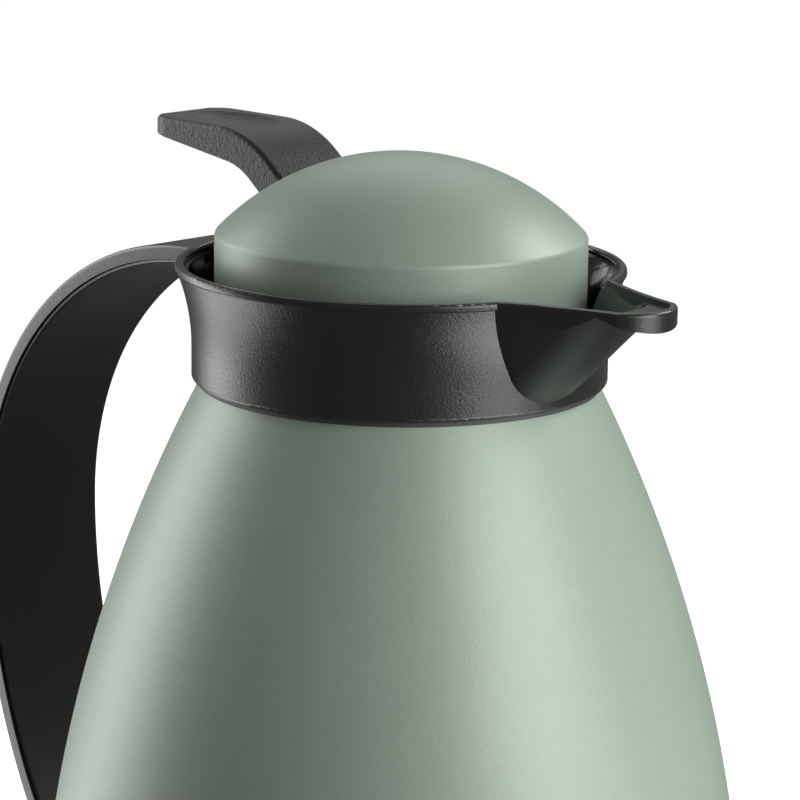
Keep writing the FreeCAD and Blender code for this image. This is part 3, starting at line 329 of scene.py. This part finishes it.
def green_lacquer(look):
    """Satin metallic lacquer with a fine speckle."""
    finish = Finish("sage_lacquer")
    speckle = finish.noise(look.speckle, FINE)
    cloud = finish.noise(LACQUER_CLOUD)
    mottle = cloud * (1 - LACQUER_SPECKLE_SHARE) + speckle * LACQUER_SPECKLE_SHARE
    greens = shades(look.green, 1 - LACQUER_SPREAD, 1 + LACQUER_SPREAD)
    return finish.surface(
        Base_Color=finish.blend(mottle, *greens), Metallic=LACQUER_METALLIC,
        Roughness=finish.between(speckle, *LACQUER_ROUGH),
        Normal=finish.bump(speckle, LACQUER_RELIEF, LACQUER_DEPTH))


def moulding(finish, look, size):
    """Grain of moulded black plastic, the mottle of its gloss, and its colour."""
    grain = finish.noise(size)
    cloud = finish.noise(PLASTIC_CLOUD)
    mottle = grain * PLASTIC_GRAIN_SHARE + cloud * (1 - PLASTIC_GRAIN_SHARE)
    colour = finish.blend(grain, *shades(look.black, PLASTIC_PITS, PLASTIC_PEAKS))
    return grain, mottle, colour


def black_plastic(look, name, rough, relief, coarse=1.0, gloss=PLASTIC_GLOSS):
    """Moulded black plastic with a spark-eroded grain, finer or coarser."""
    finish = Finish(name)
    grain, mottle, colour = moulding(finish, look, look.grain * coarse)
    return finish.surface(
        Base_Color=colour, Specular_IOR_Level=gloss,
        Roughness=finish.between(mottle, rough - PLASTIC_ROUGH_SPREAD, rough + PLASTIC_ROUGH_SPREAD),
        Normal=finish.bump(grain, relief, PLASTIC_DEPTH * coarse))


def collar_plastic(look):
    """Grained outside, polished inside the bowl and in the spout."""
    finish = Finish("collar_black")
    grain, mottle, colour = moulding(finish, look, look.grain)
    facing = finish.add("ShaderNodeTexCoord", {}, {}, "Normal")
    from_axis = finish.vector_math("MULTIPLY", finish.place, (1.0, 1.0, 0.0), output="Vector")
    polished = finish.vector_math("DOT_PRODUCT", facing, from_axis) < BOWL_FACING
    satin = finish.between(mottle, *COLLAR_ROUGH)
    return finish.surface(
        Base_Color=colour, Specular_IOR_Level=PLASTIC_GLOSS,
        Roughness=satin * (1 - polished) + polished * BOWL_ROUGH,
        Normal=finish.bump(grain * (1 - polished), COLLAR_RELIEF, COLLAR_DEPTH))


def plain_finish(name, colour, rough, metallic=0.0, size=0.0006, relief=0.08):
    """Even finish with a little wear in its gloss."""
    finish = Finish(name)
    grain = finish.noise(size, FINE)
    tones = shades(colour, 1 - PLAIN_SPREAD, 1 + PLAIN_SPREAD)
    return finish.surface(
        Base_Color=finish.blend(grain, *tones), Metallic=metallic,
        Roughness=finish.between(grain, rough - PLAIN_ROUGH_BELOW, rough + PLAIN_ROUGH_ABOVE),
        Normal=finish.bump(grain, relief, PLAIN_DEPTH))


def pale_paper():
    """White paper that glows, except round the jug, where the glow is dimmed into a painted shade and the
    lamps' soft shadow also shows.
    """
    finish = Finish("pale_paper")
    distance = finish.vector_math("LENGTH", finish.place)
    # Dimmer glow close to the jug paints a shade round its foot; the lamps add their own real shadow there
    beyond_painted_shade = finish.add("ShaderNodeMapRange", {"interpolation_type": "SMOOTHSTEP"},
                      {"Value": distance, "From Min": PAINTED_SHADE_START, "From Max": PAINTED_SHADE_END})
    return finish.surface(Base_Color=PAPER, Roughness=PAPER_ROUGH, Emission_Strength=PAPER_LIGHT,
                          Emission_Color=finish.blend(beyond_painted_shade, PAINTED_SHADE_GLOW, GLOW_FAR))


def studio_air():
    """White paper behind the floor's far edge, and a faint light from all round."""
    world = bpy.data.worlds.new("studio")
    world.use_nodes = True
    nodes = Nodes(world.node_tree)
    seen = nodes.add("ShaderNodeLightPath", {}, {}, "Is Camera Ray")
    air, paper = (nodes.add("ShaderNodeBackground", {}, {"Color": WHITE, "Strength": light})
                  for light in (AIR_LIGHT, PAPER_LIGHT))
    surround = nodes.add("ShaderNodeMixShader", {}, {"Fac": seen, 1: air, 2: paper})
    nodes.close("ShaderNodeOutputWorld", surround)
    return world


FINISHES = {}


def finishes():
    """All finishes by material slot or piece, made once."""
    look = bpy.context.scene.server_finish
    if not FINISHES:
        FINISHES.update(
            green_shell=green_lacquer(look),
            black_plastic=black_plastic(look, "grained_black", rough=0.42, relief=0.3),
            lever_black=black_plastic(look, "lever_black", rough=0.50, relief=0.9, coarse=1.3, gloss=0.5),
            handle_black=black_plastic(look, "handle_black", rough=0.36, relief=0.2),
            collar_black=collar_plastic(look),
            grey_rubber=plain_finish("gasket_grey", look.grey, rough=0.6),
            silicone=plain_finish("seal_silicone", look.silicone, rough=0.45),
            dark_rubber=plain_finish("foot_rubber", look.rubber, rough=0.75, relief=0.2),
            flask_glass=plain_finish("silvered_glass", look.glass, rough=0.08, metallic=1.0, size=0.01,
                                     relief=0.02),
            foam=plain_finish("stopper_foam", look.foam, rough=0.9, relief=0.5),
            steel=plain_finish("pin_steel", look.steel, rough=0.3, metallic=1.0),
        )
    return FINISHES


def deselect():
    """Leaves edit mode and selects nothing."""
    if bpy.context.object and bpy.context.object.mode != "OBJECT":
        bpy.ops.object.mode_set(mode="OBJECT")
    bpy.ops.object.select_all(action="DESELECT")


def activate(piece):
    """Selects one piece alone and makes it the active one."""
    deselect()
    piece.select_set(True)
    bpy.context.view_layer.objects.active = piece


def apply_modifier(piece, kind, **settings):
    """Adds a modifier to a piece and applies it."""
    activate(piece)
    modifier = piece.modifiers.new(kind.lower(), kind)
    for name, value in settings.items():
        setattr(modifier, name, value)
    bpy.ops.object.modifier_apply(modifier=modifier.name)


def thicken(piece, wall):
    """Gives a shell its wall, inwards."""
    apply_modifier(piece, "SOLIDIFY", thickness=wall, offset=-1.0, use_even_offset=True)


def carve(piece, *tools):
    """Cuts the tools out of a piece and deletes them."""
    for tool in tools:
        apply_modifier(piece, "BOOLEAN", operation="DIFFERENCE", solver="EXACT", object=tool)
        bpy.data.objects.remove(tool)


def smooth(piece):
    """Shades a piece smooth, up to the crease angle."""
    activate(piece)
    bpy.ops.object.shade_smooth_by_angle(angle=CREASE)
    apply_modifier(piece, "WEIGHTED_NORMAL", keep_sharp=True)


def weld():
    """Merges doubles in edit mode and turns all faces outwards."""
    bpy.ops.mesh.select_all(action="SELECT")
    bpy.ops.mesh.remove_doubles(threshold=DOUBLES)
    bpy.ops.mesh.normals_make_consistent(inside=False)


def finish_editing(piece):
    """Welds a piece and leaves edit mode."""
    weld()
    bpy.ops.object.mode_set(mode="OBJECT")
    return piece


def arc(centre, radius, start, stop, steps):
    """Points along an arc of an outline, as (distance from the axis, height)."""
    angles = [start + (stop - start) * i / steps for i in range(steps + 1)]
    return [(centre[0] + radius * math.cos(a), centre[1] + radius * math.sin(a)) for a in angles]


def turned(name, rings):
    """A circle that is extruded and scaled up through its rings."""
    deselect()
    radius, height = rings[0]
    bpy.ops.mesh.primitive_circle_add(vertices=bpy.context.scene.server_sizes.segments, radius=radius,
                                      location=(0, 0, height))
    piece = bpy.context.object
    piece.name = name
    bpy.ops.object.transform_apply(location=True)
    bpy.ops.object.mode_set(mode="EDIT")
    bpy.ops.mesh.select_all(action="SELECT")
    for wide, high in rings[1:]:
        bpy.ops.mesh.extrude_region_move(TRANSFORM_OT_translate={"value": (0, 0, high - height)})
        bpy.ops.transform.resize(value=(wide / radius, wide / radius, 1), center_override=(0, 0, high))
        radius, height = wide, high
    return finish_editing(piece)


def block(centre, size, turn=0.0):
    """A box to carve with, turned about Y."""
    deselect()
    bpy.ops.mesh.primitive_cube_add(size=1.0, location=centre, rotation=(0, turn, 0), scale=size)
    return bpy.context.object


def post(centre, low_radius, high_radius, height, turn=0.0, sides=ROOM_SIDES):
    """A round bar or cone to carve with, turned about Y."""
    deselect()
    bpy.ops.mesh.primitive_cone_add(vertices=sides, radius1=low_radius, radius2=high_radius, depth=height,
                                    location=centre, rotation=(0, turn, 0))
    return bpy.context.object


def select_edges(piece, wanted):
    """Selects only the edges whose two ends pass a test."""
    bpy.ops.mesh.select_all(action="DESELECT")
    bpy.ops.mesh.select_mode(type="EDGE")
    bpy.ops.object.mode_set(mode="OBJECT")
    points = [vertex.co for vertex in piece.data.vertices]
    for edge in piece.data.edges:
        edge.select = all(wanted(points[i]) for i in edge.vertices)
    bpy.ops.object.mode_set(mode="EDIT")


def select_faces(piece, wanted):
    """Selects only the faces whose middle and normal pass a test."""
    bpy.ops.mesh.select_all(action="DESELECT")
    bpy.ops.mesh.select_mode(type="FACE")
    bpy.ops.object.mode_set(mode="OBJECT")
    for face in piece.data.polygons:
        face.select = wanted(face.center, face.normal)
    bpy.ops.object.mode_set(mode="EDIT")


class HandleLoop:
    """The handle's two arcs in the jug's middle plane."""

    def __init__(self, sizes):
        low, high = (Vector(corner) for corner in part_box("handle_shell"))
        reach = -low.x
        self.foot = low.z
        self.width = high.y - low.y
        self.radius = reach - sizes.handle_root
        self.mid = high.z - self.radius
        self.upper = Vector((-sizes.handle_root, 0, self.mid))
        drop, sweep = self.mid - self.foot, sizes.handle_sweep
        self.low_radius = (drop ** 2 + sweep ** 2) / (2 * sweep)
        self.lower = Vector((self.low_radius - reach, 0, self.mid))
        self.cover_end = self.turn_at(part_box("handle_bracket")[1][2] + sizes.cover_foot)

    def turn_at(self, height):
        """Angle on the lower arc at a height."""
        return math.asin((self.mid - height) / self.low_radius)

    def inset(self, point):
        """How far a point lies inside the outer face."""
        if point.z <= self.mid:
            return self.low_radius - math.hypot(point.x - self.lower.x, point.z - self.mid)
        if point.x > self.upper.x:
            return self.mid + self.radius - point.z
        return self.radius - math.hypot(point.x - self.upper.x, point.z - self.mid)

    def strip(self, name, depth, thickness, width, start, turns):
        """A rectangle that is spun along the arcs from the angle start; stays in edit mode."""
        deselect()
        middle = self.radius - depth - thickness / 2
        place = self.upper + Vector((-math.sin(start), 0, math.cos(start))) * middle
        bpy.ops.mesh.primitive_plane_add(size=1.0, location=place, rotation=(0, math.pi / 2 - start, 0))
        piece = bpy.context.object
        piece.name = name
        piece.scale = (thickness, width, 1)
        bpy.ops.object.transform_apply(location=True, rotation=True, scale=True)
        bpy.ops.object.mode_set(mode="EDIT")
        bpy.ops.mesh.select_all(action="SELECT")
        for centre, turn, steps in turns:
            bpy.ops.mesh.spin(steps=steps, angle=turn, center=centre, axis=(0, 1, 0))
        weld()
        return piece

    def round_edges(self, piece, width, depth, radius):
        """Rounds a strip's two long edges at a depth."""
        select_edges(piece, lambda p: abs(abs(p.y) - width / 2) < NEAR and abs(self.inset(p) - depth) < NEAR)
        bpy.ops.mesh.bevel(offset=radius, segments=ROUNDING_STEPS, affect="EDGES")


def collar_room(sizes):
    """The flared outside of the collar where the handle meets it, with a seam's room."""
    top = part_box("collar")[1][2]
    return post((0, 0, top - sizes.flare_height / 2), sizes.flare_low, sizes.flare_high, sizes.flare_height)


def body_room(sizes):
    """The body's belly where the handle's foot comes near it, with a seam's room."""
    belly = sizes.belly_radius + sizes.seam
    return post((0, 0, sizes.belly_height), belly, belly, sizes.belly_height / 2)


def coat(node, material):
    """Gives a carried-over piece a finish of its own."""
    data = frame["nodes"][node].data
    data.materials.clear()
    data.materials.append(material)


def dress(piece, node, body, material):
    """Makes a piece stand for its CAD node."""
    piece.data.materials.clear()
    piece.data.materials.append(material)
    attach(piece, body)
    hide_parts(node)


class SERVER_OT_fittings(bpy.types.Operator):
    """Give every carried-over piece its finish"""
    bl_idname = "server.fittings"
    bl_label = "Inner Fittings"

    def execute(self, context):
        looks = finishes()
        for entry in frame["record"]["subparts"]:
            coat(entry["node"], looks[entry["material_slot"]])
        return {"FINISHED"}


class SERVER_OT_body(bpy.types.Operator):
    """Turn the lacquered body"""
    bl_idname = "server.body"
    bl_label = "Body"

    def execute(self, context):
        sizes = context.scene.server_sizes
        low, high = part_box("body_shell")
        below, above = sizes.belly_height - low[2], high[2] - sizes.belly_height
        rings = arc((sizes.belly_radius - sizes.lower_arc, sizes.belly_height), sizes.lower_arc,
                    -math.asin(below / sizes.lower_arc), 0.0, BODY_LOWER_STEPS)
        rings += arc((sizes.belly_radius - sizes.upper_arc, sizes.belly_height), sizes.upper_arc,
                     0.0, math.asin(above / sizes.upper_arc), BODY_UPPER_STEPS)[1:]
        piece = turned("lacquered_body", rings)
        thicken(piece, sizes.shell_wall)
        smooth(piece)
        dress(piece, "body_shell", "jug", finishes()["green_shell"])
        return {"FINISHED"}


class SERVER_OT_dome(bpy.types.Operator):
    """Turn the lid's dome and cut its hinge notch and lever slot"""
    bl_idname = "server.dome"
    bl_label = "Lid Dome"

    def execute(self, context):
        sizes = context.scene.server_sizes
        (_, _, bottom), (_, radius, top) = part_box("lid_dome")
        inset = radius - sizes.dome_edge
        centre = top - sizes.dome_radius
        rise = math.sqrt((sizes.dome_radius - sizes.dome_edge) ** 2 - inset ** 2)
        lean = math.atan2(rise, inset)
        rings = [(radius - sizes.lid_edge, bottom), (radius, bottom + sizes.lid_edge)]
        rings += arc((inset, centre + rise), sizes.dome_edge, 0.0, lean, LID_EDGE_STEPS)
        rings += arc((0.0, centre), sizes.dome_radius, lean, math.pi / 2, DOME_STEPS)[1:-1] + [(0.0, top)]
        piece = turned("lacquered_dome", rings)
        thicken(piece, sizes.lid_wall)
        carve(piece, self.notch(sizes, bottom, radius), self.slot(sizes, radius))
        smooth(piece)
        dress(piece, "lid_dome", "lid", finishes()["green_shell"])
        return {"FINISHED"}

    def notch(self, sizes, bottom, radius):
        """Room for the hinge at the back of the lid."""
        low = bottom - sizes.seam
        return block((-radius / 2 - sizes.notch_margin, 0, (low + sizes.notch_top) / 2),
                     (radius, 2 * sizes.notch_half, sizes.notch_top - low))

    def slot(self, sizes, radius):
        """Room for the lever's neck, which slopes down into the lid."""
        low, high = (Vector(corner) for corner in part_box("thumb_lever"))
        across = Vector((math.sin(sizes.lever_slope), 0, math.cos(sizes.lever_slope)))
        along = Vector((math.cos(sizes.lever_slope), 0, -math.sin(sizes.lever_slope)))
        bend = Vector((-sizes.lever_bend, 0, high.z))
        middle = bend + along * (radius * SLOT_MIDDLE) - across * (sizes.lever_neck / 2)
        return block(middle, (radius * SLOT_LENGTH, high.y - low.y + 2 * sizes.slot_room,
                              sizes.lever_neck + 2 * sizes.slot_room), sizes.lever_slope)


class SERVER_OT_collar(bpy.types.Operator):
    """Grain the pouring collar's outside and polish its inside"""
    bl_idname = "server.collar"
    bl_label = "Pouring Collar"

    def execute(self, context):
        coat("collar", finishes()["collar_black"])
        return {"FINISHED"}


class SERVER_OT_handle(bpy.types.Operator):
    """Spin the handle's outer ribbon and its inner cover"""
    bl_idname = "server.handle"
    bl_label = "Handle"

    def execute(self, context):
        sizes = context.scene.server_sizes
        loop = HandleLoop(sizes)
        black = finishes()["handle_black"]
        dress(self.ribbon(sizes, loop), "handle_shell", "jug", black)
        dress(self.cover(sizes, loop), "handle_cover", "jug", black)
        return {"FINISHED"}

    def ribbon(self, sizes, loop):
        """Outer ribbon with the boss at its root and the block at its foot."""
        end = loop.turn_at(loop.foot - sizes.handle_depth)
        piece = loop.strip("handle_outside", 0.0, sizes.handle_depth, loop.width, 0.0, (
            (loop.upper, sizes.cover_start, HANDLE_ROOT_STEPS),
            (loop.upper, math.pi / 2 - sizes.cover_start, HANDLE_UPPER_STEPS),
            (loop.lower, loop.cover_end, HANDLE_LOWER_STEPS),
            (loop.lower, end - loop.cover_end, HANDLE_FOOT_STEPS)))
        select_faces(piece, lambda p, n: n.x > SQUARE_ON and p.x > loop.upper.x - NEAR)
        run = sizes.handle_root * ROOT_RUN
        bpy.ops.mesh.extrude_region_move(TRANSFORM_OT_translate={"value": (run, 0, 0)})

        boss_end = loop.upper.x - loop.radius * math.sin(sizes.cover_start)
        block_top = loop.mid - (loop.low_radius - sizes.handle_depth) * math.sin(loop.cover_end)
        slack = DEPTH_SLACK * sizes.handle_depth
        for boss, ends in ((sizes.root_boss, lambda p: p.x > boss_end and p.z > loop.mid),
                           (sizes.foot_boss, lambda p: p.z < block_top)):
            select_faces(piece, lambda p, n: abs(n.y) < EDGE_ON and ends(p)
                         and abs(loop.inset(p) - sizes.handle_depth) < slack)
            bpy.ops.mesh.extrude_region_shrink_fatten(TRANSFORM_OT_shrink_fatten={"value": boss})
        loop.round_edges(piece, loop.width, 0.0, sizes.handle_edge)
        bpy.ops.mesh.select_all(action="SELECT")
        bpy.ops.mesh.bisect(plane_co=(0, 0, loop.foot), plane_no=(0, 0, 1), clear_inner=True, use_fill=True)
        finish_editing(piece)
        carve(piece, self.sink(sizes, loop), body_room(sizes), collar_room(sizes))
        smooth(piece)
        return piece

    def sink(self, sizes, loop):
        """Round sink for the foot screw's head."""
        lift = loop.turn_at(loop.foot + sizes.foot_screw_lift)
        outward = Vector((-math.cos(lift), 0, -math.sin(lift)))
        return post(loop.lower + outward * loop.low_radius, sizes.sink_radius, sizes.sink_radius,
                    2 * sizes.sink_depth, math.atan2(outward.x, outward.z), SINK_SIDES)

    def cover(self, sizes, loop):
        """Inner cover, set in from the ribbon's sides."""
        depth = sizes.handle_depth + sizes.seam
        width = loop.width - 2 * sizes.cover_inset
        gap = sizes.seam / loop.radius
        start = sizes.cover_start + gap
        piece = loop.strip("handle_inside", depth, sizes.cover_wall, width, start, (
            (loop.upper, math.pi / 2 - start, HANDLE_UPPER_STEPS),
            (loop.lower, loop.cover_end - gap, HANDLE_LOWER_STEPS)))
        loop.round_edges(piece, width, depth + sizes.cover_wall, sizes.cover_round)
        finish_editing(piece)
        smooth(piece)
        return piece


class SERVER_OT_lever(bpy.types.Operator):
    """Give the thumb lever its coarse grain"""
    bl_idname = "server.lever"
    bl_label = "Thumb Lever"

    def execute(self, context):
        coat("thumb_lever", finishes()["lever_black"])
        return {"FINISHED"}


class SERVER_OT_stage(bpy.types.Operator):
    """Set the floor, the light and the camera"""
    bl_idname = "server.stage"
    bl_label = "Stage"

    def execute(self, context):
        scene = context.scene
        self.floor(context)
        scene.world = studio_air()
        scene.view_settings.view_transform = "Standard"
        for softbox in SOFTBOXES:
            self.soft_light(scene, *softbox)
        scene.camera = self.camera(scene)
        return {"FINISHED"}

    def floor(self, context):
        """Sheet of pale paper that the jug stands on."""
        deselect()
        bpy.ops.mesh.primitive_plane_add(size=FLOOR_SIZE)
        floor = context.object
        floor.name = "pale_floor"
        floor.data.materials.append(pale_paper())
        floor.visible_glossy = False
        floor.visible_diffuse = False

    def soft_light(self, scene, name, place, target, size, power):
        """Rectangular lamp that looks at a point."""
        data = bpy.data.lights.new(name, "AREA")
        data.shape = "RECTANGLE"
        data.size, data.size_y = size
        data.energy = power
        lamp = bpy.data.objects.new(name, data)
        lamp.location = place
        lamp.rotation_euler = (Vector(target) - Vector(place)).to_track_quat("-Z", "Y").to_euler()
        lamp.visible_camera = False
        scene.collection.objects.link(lamp)

    def camera(self, scene):
        """Camera at the photograph's viewing angle."""
        view = scene.server_stage
        cosine, sine = math.cos(view.azimuth), math.sin(view.azimuth)
        level, drop = math.cos(view.pitch), math.sin(view.pitch)
        right = Vector((cosine, sine, 0))
        up = Vector((-sine * drop, cosine * drop, level))
        ahead = Vector((-sine * level, cosine * level, -drop))
        across = right * math.cos(view.roll) + up * math.sin(view.roll)
        upright = up * math.cos(view.roll) - right * math.sin(view.roll)
        data = bpy.data.cameras.new("photo_view")
        data.lens = view.lens
        data.sensor_width = SENSOR_WIDTH
        data.clip_start = CLIP_START
        camera = bpy.data.objects.new("photo_view", data)
        camera.matrix_world = (Matrix.Translation(view.eye)
                               @ Matrix((across, upright, -ahead)).transposed().to_4x4())
        scene.collection.objects.link(camera)
        return camera


class SERVER_PT_panel(bpy.types.Panel):
    """Lists the sizes, the finishes and the pieces"""
    bl_label = "Thermal Server"
    bl_idname = "SERVER_PT_panel"
    bl_space_type = "VIEW_3D"
    bl_region_type = "UI"
    bl_category = "Server"

    def draw(self, context):
        column = self.layout.column()
        for group in (getattr(context.scene, name) for name in GROUPS):
            for name in group.bl_rna.properties.keys():
                if name not in {"rna_type", "name"}:
                    column.prop(group, name)
        for operator in OPERATORS:
            column.operator(operator.bl_idname)


OPERATORS = (SERVER_OT_fittings, SERVER_OT_body, SERVER_OT_dome, SERVER_OT_collar, SERVER_OT_handle,
             SERVER_OT_lever, SERVER_OT_stage)
GROUPS = {"server_sizes": ServerSizes, "server_finish": ServerFinish, "server_stage": ServerStage}


def register():
    """Makes the groups, operators and panel known."""
    for kind in (*GROUPS.values(), *OPERATORS, SERVER_PT_panel):
        bpy.utils.register_class(kind)
    for name, kind in GROUPS.items():
        setattr(bpy.types.Scene, name, PointerProperty(type=kind))


def unregister():
    """Takes them away again."""
    for name in GROUPS:
        delattr(bpy.types.Scene, name)
    for kind in (SERVER_PT_panel, *reversed(OPERATORS), *GROUPS.values()):
        bpy.utils.unregister_class(kind)


def main():
    """Runs every operator in order."""
    register()
    for operator in OPERATORS:
        group, name = operator.bl_idname.split(".")
        getattr(getattr(bpy.ops, group), name)()


if __name__ == "__main__":
    main()
